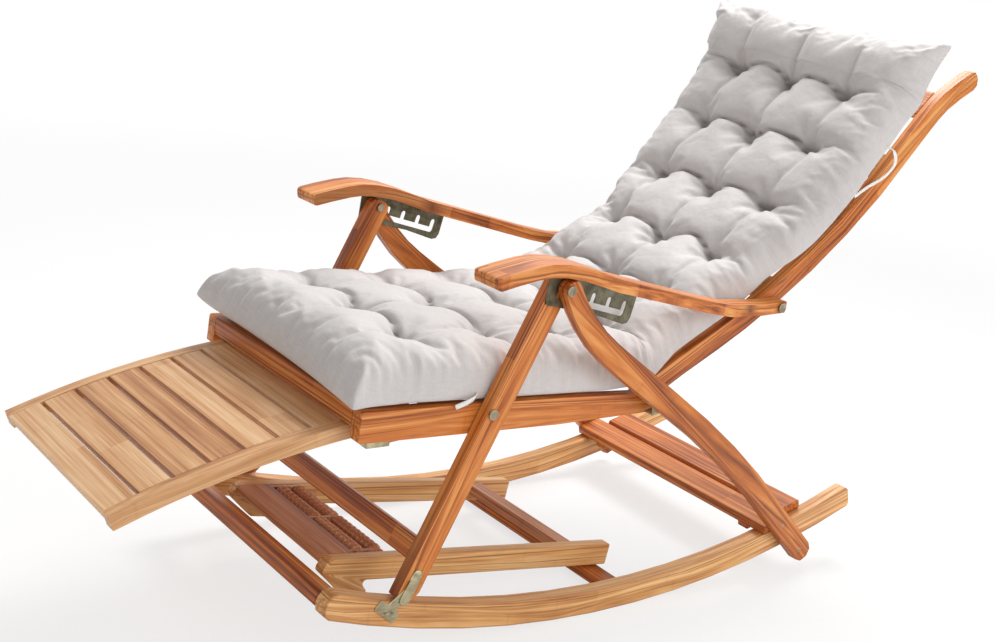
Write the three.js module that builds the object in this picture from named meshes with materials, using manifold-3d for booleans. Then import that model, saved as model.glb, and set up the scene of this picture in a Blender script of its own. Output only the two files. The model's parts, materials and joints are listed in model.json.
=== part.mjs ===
// Folding rocking chair with a slide-out footrest, a foot roller frame and a tufted cushion.
// Millimetres, +Z up. The sitter faces -Y and the sitter's left is +X.
// Side profiles are drawn in (y, z), with y = 0 and z = 0 where the rockers touch the floor.
import * as THREE from 'three';
import { mergeVertices } from 'three/addons/utils/BufferGeometryUtils.js';
import Module from 'manifold-3d';

const wasm = await Module();
wasm.setup();

// Fits
const contactGap = 0.3;
const runningGap = 1.5;
const overrun = 5;

// Side layers, from the middle outwards
const backInnerHalf = 196;
const backRailThick = 20;
const seatRailThick = 22;
const frontLegThick = 20;
const rockerThick = 28;
const rackThick = 2.5;
const rackPlay = 0.75;
const rearLegThick = 20;
const backRailOut = backInnerHalf + backRailThick;
const seatRailIn = backRailOut + runningGap;
const seatRailOut = seatRailIn + seatRailThick;
const frontLegIn = seatRailOut + runningGap;
const frontLegOut = frontLegIn + frontLegThick;
const rockerIn = frontLegOut - rockerThick;
const rackIn = frontLegOut + rackPlay;
const rackOut = rackIn + rackThick;
const rearLegIn = rackOut + rackPlay;
const rearLegOut = rearLegIn + rearLegThick;

// Rockers: arcs of even depth, faceted so that a flat rests on the floor
const rockerRadius = 1780;
const rockerDepth = 42;
const rockerFacets = 13;
const rockerFacetAngle = 3;
const rockerFrontAngle = 19.3;
const rockerRearAngle = 19.5;
const rockerTipCorner = 16;
const rockerTailCorner = 7;

// Pivots in the side view
const legFootY = -436.5;
const legFootZ = 119;
const topBoltY = -234;
const topBoltZ = 578;
const seatBoltY = -328;
const seatBoltZ = 385;
const seatHingeY = 22;
const seatHingeZ = 362;
const armBoltY = 291;
const armBoltZ = 514;
const rearLegEndY = 446;
const rearLegEndZ = 41;

// Cross members between the rockers
const spreaderAngle = 18.6;
const spreaderWidth = 40;
const spreaderThick = 24;
const spreaderCorner = 4;
const crossbarY = 28;
const crossbarWidth = 40;
const crossbarThick = 16;
const crossbarLift = 7.6;

// Front legs and the plank between them
const frontLegWidth = 38;
const legTopReach = 12;
const legTopCorner = 12;
const legFootReach = 19;
const legFootCorner = 3;
const plankUp = 38;
const plankHeight = 35;
const plankThick = 18;
const plankSetback = 2;

// Rear legs, the boards that stand on the rockers and the battens that join them
const rearLegWidth = 41;
const rearLegTopWidth = 31;
const rearLegFullShare = 0.55;
const rearLegTopReach = 11;
const rearLegTopCorner = 13;
const rearLegEndReach = 20;
const rearLegEndCorner = 18;
const rearLegSteps = 12;
const rearLegPathShares = [
  [0.008, -0.006], [0.036, 0.054], [0.108, 0.153], [0.221, 0.254], [0.501, 0.48], [0.731, 0.698], [1, 1],
];
const footBoardAngles = [12.6, 14.71];
const footBoardWidth = 57;
const footBoardThick = 18;
const footBoardCorner = 4;
const battenWidth = 24;
const battenOutHalf = backRailOut;
const battenInHalf = battenOutHalf - battenWidth;
const battenThick = 12;
const battenFrontAngle = 11.9;
const battenRearAngle = 15.4;

// Saddles on the rear legs that carry the seat hinge bolts
const saddleThick = 3;
const saddleFront = 20;
const saddleRear = 13;
const saddleRise = 16;
const saddleTilt = 12;
const saddleReach = 20;
const saddlePlateHeight = 26;

// Seat frame
const seatFrontY = -545;
const seatFrontZ = 378.5;
const seatMidY = -176;
const seatMidZ = 367;
const seatFrontHeight = 47;
const seatMidHeight = 44;
const seatRearHeight = 30;
const seatFrontCorner = 4;
const frontRailTop = 402;
const frontRailHeight = 25;
const frontRailThick = 20;
const seatSlatWidth = 66;
const seatSlatThick = 10;
const seatSlatShares = [0.17, 0.43, 0.8];

// Backrest frame
const backRailDepth = 36;
const backRun = 730;
const backRise = 563;
const backRailSteps = 14;
const backPathShares = [
  [0, 0], [0.074, 0.062], [0.225, 0.165], [0.351, 0.261], [0.518, 0.416], [0.677, 0.602],
  [0.823, 0.817], [0.868, 0.885], [0.92, 0.942], [1, 1],
];
const backTipCorner = 15;
const backTipReach = 12;
const backSlatShares = [0.188, 0.359, 0.484, 0.596];
const backSlatWidth = 52;
const backSlatThick = 10;
const backSlatSetback = 1;
const crestShare = 0.79;
const crestWidth = 60;
const crestThick = 16;

// Armrests: cranked boards that narrow to a tongue at the backrest
const armThick = 20;
const armSteps = 14;
const armCornerRadius = 5;
const armPath = [[-375, 593], [-312, 607], [-265, 611], [-205, 602], [-135, 581], [-70, 567], [66, 535.5],
  [180, 515], [310, 514]];
const armPlanSteps = [[14, -382, 8], [74, -382, 14], [74, -200, 0], [36, 225, 0], [30, 312, 10], [2, 312, 12],
  [2, 120, 0], [14, -160, 0]];
const armPlan = armPlanSteps.map(([out, y, radius]) => [backRailOut + out, y, radius]);
const armPlanBase = 400;
const armPlanTop = 700;

// Rack plates: five notches above a channel, carried by the top bolts
const rackNotches = 5;
const rackPitch = 34.2;
const rackSlope = 13.7;
const notchRadius = 4.8;
const channelDrop = 15.5;
const channelWidth = 9.4;
const rackOutline = [[-262, 552, 6], [-159, 531, 0], [-87, 509, 12], [-77, 562, 0], [-74, 568, 0], [-150, 586, 0],
  [-220, 606, 0], [-259, 609, 0]];

// Footrest: an arched frame that slides along its own arc into the seat
const footArcY = -342;
const footCrownZ = 360;
const footArcRadius = 1480;
const footArcZ = footCrownZ - footArcRadius;
const footRailDepth = 22;
const guideWebThick = 16;
const guideReach = 27.5;
const footRailWidth = 22;
const guideWebInHalf = seatRailIn - guideWebThick;
const guideInHalf = seatRailIn - guideReach;
const footRailOutHalf = guideWebInHalf - runningGap;
const footRailInHalf = footRailOutHalf - footRailWidth;
const footFrontY = -880;
const footRearY = -462;
const footLastBoardY = -529;
const footBoardCount = 7;
const footBoardGap = 5;
const footBoardDepth = 12;
const footRailSteps = 10;
const guideDepth = 9;
const guidePlay = 0.4;
const guideWebRise = 12;
const guideFrontY = -522;
const guideRearY = -140;

// Foot roller frame
const rollerRailOutHalf = 157;
const rollerRailInHalf = 137;
const rollerRailDepth = 39;
const rollerRailSlope = 7.1;
const rollerNoseY = -524;
const rollerNoseZ = 134.9;
const rollerRailOutline = [[0, 0, 18], [598, 0, 3], [598, 39, 3], [72, 38, 6], [94, 61, 3], [43, 58, 4], [0, 24, 4]];
const noseBoardStart = 5;
const noseBoardWidth = 46;
const noseBoardThick = 14;
const dividerThick = 6;
const dividerRun = 88;
const dividerDepth = 24;
const dividerCorner = 8;
const outerDividerInset = 9;
const outerDividerHalf = rollerRailInHalf - outerDividerInset;
const rollerRadius = 13;
const rollerGroove = 3.5;
const rollerRings = 9;
const rollerFacets = 12;
const rollerEndPlay = 1;
const rollerAxleRadius = 3;
const rollerAxleReach = 3;
const rollerAxlePlay = 0.4;
const firstRollerRun = 81;
const rollerPitch = 34;
const rollerDrop = 8.5;
const lightStripRun = 55;
const lightStripWidth = 18;
const rearBarRun = 507;
const rearBarWidth = 32;
const rearBarThick = 18;
const rearBarSetback = 2;

// Steel plates and straps at the leg feet
const plateThick = 2;
const hingePlateY = -475;
const hingePlateZ = 91;
const hingePlateLength = 46;
const hingePlateWidth = 18;
const hingePlateAngle = -39.5;
const hingePlateCorner = 3;
const plateScrewRadius = 3;
const plateScrews = [[-478, 91], [-465.5, 88.7]];
const strapWidth = 18;
const strapTopRun = 24;
const strapTopForward = 1.3;
const strapEndRun = 17;
const strapEndForward = 4;
const strapStepStart = 12;
const strapStepLength = 3;
const rivetRadius = 4;
const rivetDepth = 9;

// Bolts
const boltRadius = 4;
const boltHeadRadius = 8.5;
const boltHeadHeight = 3.2;
const hingeBoltRadius = 5;
const hingeBoltOutHalf = 258;
const boltPlay = 0.35;
const nutRadius = 7;
const nutHeight = 5;
const boltFacets = 12;

// Cushion halves, sewn together at the crease
const cushionHalfWidth = backRailOut;
const cushionAcross = 18;
const cushionLift = 0.4;
const cushionRimShare = 0.42;
const cushionEdgePower = 6;
const seatCushionThick = 58;
const seatCushionSteps = 24;
const seatCushionPath = [[-570, 403], [-545, 402.2], [-400, 397.1], [-176, 389.3], [-60, 385], [12, 381]];
const seatTuftShares = [0.26, 0.52, 0.77];
const backCushionThick = 62;
const backCushionSteps = 30;
const backCushionShares = [0.015, 0.12, 0.22, 0.33, 0.44, 0.55, 0.66];
const backCushionTop = [[637, 900], [663, 968]];
const backTuftShares = [0.15, 0.32, 0.49, 0.67, 0.84];
const tuftAcrossShares = [0.21, 0.5, 0.79];
const tuftDepth = 24;
const tuftSpread = 42;
const seatCreaseSlant = 26;
const backCreaseSlant = -10;

const weld = 0.001;
const cornerStep = 40;

const profilePlane = new THREE.Matrix4().makeBasis(
  new THREE.Vector3(0, 1, 0), new THREE.Vector3(0, 0, 1), new THREE.Vector3(1, 0, 0));
const point = (y, z) => new THREE.Vector2(y, z);
const radians = THREE.MathUtils.degToRad;
const legFoot = point(legFootY, legFootZ);
const topBolt = point(topBoltY, topBoltZ);
const seatBolt = point(seatBoltY, seatBoltZ);
const seatHinge = point(seatHingeY, seatHingeZ);
const armBolt = point(armBoltY, armBoltZ);
const rearLegEnd = point(rearLegEndY, rearLegEndZ);
const rockerCentre = point(0, rockerRadius);

// A closed body from a geometry, ready for joins and cuts
function solid(geometry) {
  const bare = geometry.clone();
  bare.deleteAttribute('normal');
  bare.deleteAttribute('uv');
  const merged = mergeVertices(bare, weld);
  return new wasm.Manifold(new wasm.Mesh({
    numProp: 3,
    vertProperties: Float32Array.from(merged.attributes.position.array),
    triVerts: Uint32Array.from(merged.index.array),
  }));
}

// Outline whose corners are given as [y, z, radius]
function rounded(corners) {
  return corners.flatMap(([y, z, radius = 0], i) => {
    const here = point(y, z);
    if (radius === 0) return [here];
    const before = corners.at(i - 1);
    const after = corners[(i + 1) % corners.length];
    const back = point(before[0], before[1]).sub(here).normalize();
    const ahead = point(after[0], after[1]).sub(here).normalize();
    const half = Math.acos(THREE.MathUtils.clamp(back.dot(ahead), -1, 1)) / 2;
    const middle = back.clone().add(ahead).normalize().multiplyScalar(radius / Math.sin(half)).add(here);
    const start = back.clone().multiplyScalar(radius / Math.tan(half)).add(here);
    const turn = Math.sign(ahead.cross(back)) * (Math.PI - 2 * half);
    const steps = Math.max(2, Math.round(Math.abs(turn) / radians(cornerStep)));
    return Array.from({ length: steps + 1 }, (_, k) => start.clone().rotateAround(middle, turn * k / steps));
  });
}

// Outline of a bar that follows a curve; each cap has a reach and the corner radii on its right and left
function strip(curve, steps, width, start, end) {
  const rows = Array.from({ length: steps + 1 }, (_, k) => {
    const along = curve.getTangent(k / steps);
    const centre = curve.getPoint(k / steps);
    const shift = k === 0 ? -start.reach : k === steps ? end.reach : 0;
    centre.addScaledVector(along, shift);
    const side = point(along.y, -along.x).multiplyScalar(width(k / steps) / 2);
    return [centre.clone().add(side), centre.clone().sub(side)];
  });
  const right = rows.map(([p], k) => [p.x, p.y, k === 0 ? start.right : k === steps ? end.right : 0]);
  const left = rows.map(([, p], k) => [p.x, p.y, k === 0 ? start.left : k === steps ? end.left : 0]);
  return rounded([...right, ...left.reverse()]);
}
const evenCap = (reach, radius) => ({ reach, right: radius, left: radius });

// Side profiles thickened across the chair, on one side or over the middle
function slab(outline, inner, thick, side) {
  const geometry = new THREE.ExtrudeGeometry(new THREE.Shape(outline), { depth: thick, bevelEnabled: false });
  geometry.applyMatrix4(profilePlane);
  geometry.translate(side > 0 ? inner : -inner - thick, 0, 0);
  return solid(geometry);
}
const crossBar = (outline, half) => slab(outline, -half, half * 2, 1);

// Round pin across the chair between two distances from the middle
function pin(centre, radius, from, to, side, facets = boltFacets) {
  const geometry = new THREE.CylinderGeometry(radius, radius, to - from, facets);
  geometry.rotateZ(Math.PI / 2);
  geometry.translate(side * (from + to) / 2, centre.x, centre.y);
  return solid(geometry);
}

// Rectangle in the side view, tilted by an angle in degrees
function tilted(centre, length, thick, angle, radius = 0) {
  const corners = [[-1, -1], [1, -1], [1, 1], [-1, 1]].map(([a, b]) => {
    const p = point(a * length / 2, b * thick / 2).rotateAround(point(0, 0), radians(angle)).add(centre);
    return [p.x, p.y, radius];
  });
  return rounded(corners);
}

const around = (centre, radius, angle) => point(
  centre.x + radius * Math.sin(radians(angle)), centre.y - radius * Math.cos(radians(angle)));
const sharesPath = (origin, run, rise, shares) => new THREE.SplineCurve(
  shares.map(([u, v]) => point(origin.x + run * u, origin.y + rise * v)));

const bamboo = (name, color) => new THREE.MeshStandardMaterial({ name, color, roughness: 0.45, metalness: 0 });
const steel = (name, color) => new THREE.MeshStandardMaterial({ name, color, roughness: 0.35, metalness: 1 });
const frameBamboo = bamboo('bamboo_frame', '#b8722f');
const rockerBamboo = bamboo('bamboo_rocker', '#c28a44');
const boardBamboo = bamboo('bamboo_board', '#c99657');
const rollerBamboo = bamboo('bamboo_dark', '#8f5630');
const boltSteel = steel('steel_bolt', '#a8a9a5');
const plateBronze = steel('bronze_plate', '#7d7f68');
const cushionCloth = new THREE.MeshStandardMaterial({ name: 'cushion_cotton', color: '#cfc8bd', roughness: 0.75, metalness: 0 });

const chair = new THREE.Group();
chair.name = 'folding_rocking_chair';

function piece(name, body, material) {
  const mesh = body.getMesh();
  const geometry = new THREE.BufferGeometry();
  geometry.setAttribute('position', new THREE.BufferAttribute(Float32Array.from(mesh.vertProperties), 3));
  geometry.setIndex(Array.from(mesh.triVerts));
  geometry.computeVertexNormals();
  const node = new THREE.Mesh(geometry, material);
  node.name = name;
  chair.add(node);
}
const sides = [['left', 1], ['right', -1]];

// Rockers with their cross members
const facetAngles = Array.from({ length: rockerFacets - 1 }, (_, k) => (k + 1 - rockerFacets / 2) * rockerFacetAngle);
const rockerTop = rockerRadius - rockerDepth;
const rockerCorner = (radius, angle, corner) => {
  const p = around(rockerCentre, radius, angle);
  return [p.x, p.y, corner];
};
const rockerOutline = rounded([
  rockerCorner(rockerRadius, -rockerFrontAngle, rockerTipCorner),
  ...facetAngles.map((angle) => rockerCorner(rockerRadius, angle, 0)),
  rockerCorner(rockerRadius, rockerRearAngle, rockerTailCorner),
  rockerCorner(rockerTop, rockerRearAngle, rockerTailCorner),
  ...facetAngles.toReversed().map((angle) => rockerCorner(rockerTop, angle, 0)),
  rockerCorner(rockerTop, -rockerFrontAngle, rockerTipCorner),
]);
const spreaderCentre = around(rockerCentre, rockerRadius - rockerDepth / 2, -spreaderAngle);
const crossHalf = rockerIn - contactGap;
const spreader = tilted(spreaderCentre, spreaderWidth, spreaderThick, -spreaderAngle, spreaderCorner);
piece('front_spreader', crossBar(spreader, crossHalf), frameBamboo);
const crossbar = tilted(point(crossbarY, crossbarLift + crossbarThick / 2), crossbarWidth, crossbarThick, 0);
piece('rear_crossbar', crossBar(crossbar, crossHalf), frameBamboo);

// Foot roller frame, drawn along its own rails: run towards the rear, drop below the top edge
const rollerNose = point(rollerNoseY, rollerNoseZ);
const onRail = (run, drop) => point(run, -drop).rotateAround(point(0, 0), radians(-rollerRailSlope)).add(rollerNose);
const railOutline = rounded(rollerRailOutline.map(([run, drop, radius]) => {
  const p = onRail(run, drop);
  return [p.x, p.y, radius];
}));
const spreaderRoom = crossBar(tilted(
  spreaderCentre, spreaderWidth + contactGap * 2, spreaderThick + contactGap * 2, -spreaderAngle), crossHalf);
const trayHalf = rollerRailInHalf - contactGap;
const noseMiddle = noseBoardStart + noseBoardWidth / 2;
const noseBoard = crossBar(
  tilted(onRail(noseMiddle, noseBoardThick / 2), noseBoardWidth, noseBoardThick, -rollerRailSlope), trayHalf);
const stripBoard = crossBar(
  tilted(onRail(lightStripRun, noseBoardThick / 2), lightStripWidth, noseBoardThick, -rollerRailSlope), trayHalf);
const rollerRuns = [firstRollerRun, firstRollerRun + rollerPitch];
const dividerStart = noseBoardStart + noseBoardWidth / 2;
const dividerEnd = firstRollerRun + rollerPitch + dividerDepth / 2;
const dividerOutline = tilted(onRail((dividerStart + dividerEnd) / 2, dividerDepth / 2),
  dividerEnd - dividerStart, dividerDepth, -rollerRailSlope, dividerCorner);
let tray = noseBoard.add(stripBoard);
for (const middle of [-outerDividerHalf, 0, outerDividerHalf]) {
  tray = tray.add(slab(dividerOutline, middle - dividerThick / 2, dividerThick, 1));
}
for (const run of rollerRuns) {
  const axle = onRail(run, rollerDrop);
  tray = tray.subtract(pin(axle, rollerAxleRadius + rollerAxlePlay, -trayHalf, trayHalf, 1));
}
piece('roller_tray', tray, rollerBamboo);

// Turned rollers with raised rings, one pair on each side of the middle divider
const rollerStart = dividerThick / 2 + rollerEndPlay;
const rollerEnd = outerDividerHalf - dividerThick / 2 - rollerEndPlay;
const ringLength = (rollerEnd - rollerStart) / rollerRings;
const rollerProfile = [point(0, -rollerAxleReach), point(rollerAxleRadius, -rollerAxleReach), point(rollerAxleRadius, 0)];
for (let ring = 0; ring < rollerRings; ring += 1) {
  const start = ring * ringLength;
  rollerProfile.push(point(rollerRadius - rollerGroove, start));
  rollerProfile.push(point(rollerRadius, start + ringLength / 3));
  rollerProfile.push(point(rollerRadius, start + ringLength * 2 / 3));
}
const rollerLength = rollerEnd - rollerStart;
rollerProfile.push(point(rollerRadius - rollerGroove, rollerLength), point(rollerAxleRadius, rollerLength));
rollerProfile.push(point(rollerAxleRadius, rollerLength + rollerAxleReach), point(0, rollerLength + rollerAxleReach));
for (const [name, side] of sides) {
  rollerRuns.forEach((run, row) => {
    const turned = new THREE.LatheGeometry(rollerProfile, rollerFacets);
    turned.rotateZ(-Math.PI / 2);
    const axle = onRail(run, rollerDrop);
    turned.translate(side > 0 ? rollerStart : -rollerEnd, axle.x, axle.y);
    piece(`foot_roller_${name}_${row + 1}`, solid(turned), boardBamboo);
  });
}
const rearBarMiddle = onRail(rearBarRun, rearBarThick / 2 + rearBarSetback);
piece('roller_rear_bar', crossBar(tilted(rearBarMiddle, rearBarWidth, rearBarThick, -rollerRailSlope), trayHalf), rollerBamboo);

// Straight front legs and the plank between them
const legCurve = new THREE.LineCurve(legFoot, topBolt);
const legAlong = topBolt.clone().sub(legFoot).normalize();
const legAngle = THREE.MathUtils.radToDeg(legAlong.angle());
const onLeg = (up, forward) => legFoot.clone().addScaledVector(legAlong, up)
  .add(point(-legAlong.y, legAlong.x).multiplyScalar(forward));
const legOutline = strip(legCurve, 1, () => frontLegWidth,
  { reach: legFootReach, right: frontLegWidth / 2 - weld, left: legFootCorner }, evenCap(legTopReach, legTopCorner));
const plankMiddle = onLeg(plankUp + plankHeight / 2, frontLegWidth / 2 - plankSetback - plankThick / 2);
const plankOutline = tilted(plankMiddle, plankHeight, plankThick, legAngle);
piece('front_plank', crossBar(plankOutline, frontLegIn - contactGap), frameBamboo);

// Hinge plates on the rockers and joggled straps on the legs
const plateMiddle = point(hingePlateY, hingePlateZ);
const plateOutline = tilted(plateMiddle, hingePlateLength, hingePlateWidth, hingePlateAngle, hingePlateCorner);
const plateArm = strip(new THREE.LineCurve(plateMiddle, legFoot), 1, () => hingePlateWidth,
  evenCap(0, 0), evenCap(hingePlateWidth / 2, hingePlateWidth / 2 - weld));
const plateIn = frontLegOut + contactGap;
const plateOut = plateIn + plateThick;
const strapIn = plateOut + contactGap;
const strapOut = strapIn + plateThick;
const strapCurve = new THREE.LineCurve(onLeg(-strapEndRun, strapEndForward), onLeg(strapTopRun, strapTopForward));
const strapCap = evenCap(strapWidth / 2, strapWidth / 2 - weld);
const strapOutline = strip(strapCurve, 1, () => strapWidth, strapCap, strapCap);
const stepRoom = (up, run) => tilted(onLeg(up, 0), run, frontLegWidth * 2, legAngle);

// Rear legs, one cranked curve from the top bolt to the floor end
const rearCurve = sharesPath(topBolt, rearLegEnd.x - topBolt.x, rearLegEnd.y - topBolt.y, rearLegPathShares);
const rearWidth = (t) => rearLegTopWidth
  + (rearLegWidth - rearLegTopWidth) * THREE.MathUtils.smoothstep(t, 0, rearLegFullShare);
const rearOutline = strip(rearCurve, rearLegSteps, rearWidth,
  evenCap(rearLegTopReach, rearLegTopCorner), evenCap(rearLegEndReach, rearLegEndCorner));
const boardBase = rockerTop * Math.cos(radians(rockerFacetAngle / 2)) - contactGap;
const footBoards = footBoardAngles.map((angle, k) => {
  const middle = around(rockerCentre, boardBase - footBoardThick / 2, angle);
  const half = (k === 0 ? rearLegIn : frontLegIn) - contactGap;
  return crossBar(tilted(middle, footBoardWidth, footBoardThick, angle, footBoardCorner), half);
});
const battenMiddle = (battenFrontAngle + battenRearAngle) / 2;
const battenLength = rockerTop * radians(battenRearAngle - battenFrontAngle);
const battenOutline = tilted(around(rockerCentre, boardBase + battenThick / 2 - contactGap, battenMiddle),
  battenLength, battenThick, battenMiddle);
let footFrame = footBoards[0].add(footBoards[1]);
for (const [, side] of sides) {
  footFrame = footFrame.add(slab(battenOutline, battenInHalf, battenOutHalf - battenInHalf, side));
}
piece('rear_foot_boards', footFrame, frameBamboo);

// Saddle: a tilted ledge under the hinge bolt with an upstand behind it and a plate on the leg
const ledgeTop = point(0, -hingeBoltRadius - contactGap);
const saddlePoint = (y, z) => point(y, z).add(ledgeTop).rotateAround(point(0, 0), radians(saddleTilt)).add(seatHinge);
const saddleOutline = [
  saddlePoint(-saddleFront, 0), saddlePoint(-saddleFront, -saddleThick),
  saddlePoint(saddleRear, -saddleThick), saddlePoint(saddleRear, saddleRise),
  saddlePoint(saddleRear - saddleThick, saddleRise), saddlePoint(saddleRear - saddleThick, 0),
];
const saddlePlate = [
  saddlePoint(-saddleFront, -saddleThick), saddlePoint(saddleRear, -saddleThick),
  saddlePoint(saddleRear, saddlePlateHeight), saddlePoint(-saddleFront, saddlePlateHeight),
];
const saddleOut = rearLegIn - contactGap;

// Seat rails: front bar, slender rear, rounded round the hinge
const seatSpine = new THREE.CatmullRomCurve3([
  new THREE.Vector3(seatFrontY, seatFrontZ, seatFrontHeight),
  new THREE.Vector3((seatFrontY + seatMidY) / 2, (seatFrontZ + seatMidZ) / 2, (seatFrontHeight + seatMidHeight) / 2),
  new THREE.Vector3(seatMidY, seatMidZ, seatMidHeight),
  new THREE.Vector3(seatHinge.x, seatHinge.y, seatRearHeight),
]);
const seatCurve = new THREE.SplineCurve([
  point(seatFrontY, seatFrontZ), point((seatFrontY + seatMidY) / 2, (seatFrontZ + seatMidZ) / 2),
  point(seatMidY, seatMidZ), seatHinge,
]);
const seatOutline = strip(seatCurve, 6, (t) => seatSpine.getPoint(t).z,
  evenCap(0, seatFrontCorner), evenCap(seatRearHeight / 2, seatRearHeight / 2 - 1));
const footArc = point(footArcY, footArcZ);
const archAngle = (y) => THREE.MathUtils.radToDeg(Math.asin((y - footArcY) / footArcRadius));
const above = (radius, angle) => around(footArc, -radius, -angle);
const archOutline = (inner, outer, front, rear, steps) => {
  const angles = Array.from({ length: steps + 1 }, (_, k) => front + (rear - front) * k / steps);
  return [...angles.map((a) => above(inner, a)), ...angles.toReversed().map((a) => above(outer, a))];
};
const guideTop = footArcRadius - guidePlay;
const guideSpan = [archAngle(guideFrontY), archAngle(guideRearY), 5];
const guideLedge = archOutline(guideTop - guideDepth, guideTop, ...guideSpan);
const guideWeb = archOutline(guideTop - guideDepth, footArcRadius + guideWebRise, ...guideSpan);

// Backrest rails
const backCurve = sharesPath(seatHinge, backRun, backRise, backPathShares);
const backOutline = strip(backCurve, backRailSteps, () => backRailDepth,
  evenCap(backRailDepth / 2, backRailDepth / 2 - 1), evenCap(backTipReach, backTipCorner));

// Armrest board cut from its side profile and its plan
const armCurve = new THREE.SplineCurve(armPath.map(([y, z]) => point(y, z)));
const armOutline = strip(armCurve, armSteps, () => armThick, evenCap(0, armCornerRadius), evenCap(0, armCornerRadius));
const planShape = new THREE.Shape(rounded(armPlan));
const planGeometry = new THREE.ExtrudeGeometry(planShape, { depth: armPlanTop - armPlanBase, bevelEnabled: false });
planGeometry.translate(0, 0, armPlanBase);
const armPlanBody = solid(planGeometry);

// Rack plate with its channel and notches
const notchLine = (k, drop) => point(k * rackPitch, -drop)
  .rotateAround(point(0, 0), radians(-rackSlope)).add(topBolt);
const channelCap = evenCap(channelWidth / 2, channelWidth / 2 - weld);
const channel = strip(new THREE.LineCurve(notchLine(0, channelDrop), notchLine(rackNotches - 1, channelDrop)), 1,
  () => channelWidth, channelCap, channelCap);
const notchCap = evenCap(notchRadius, notchRadius - weld);
const notches = Array.from({ length: rackNotches }, (_, k) => strip(
  new THREE.LineCurve(notchLine(k, channelDrop), notchLine(k, 0)), 1, () => notchRadius * 2, evenCap(0, 0), notchCap));

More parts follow.
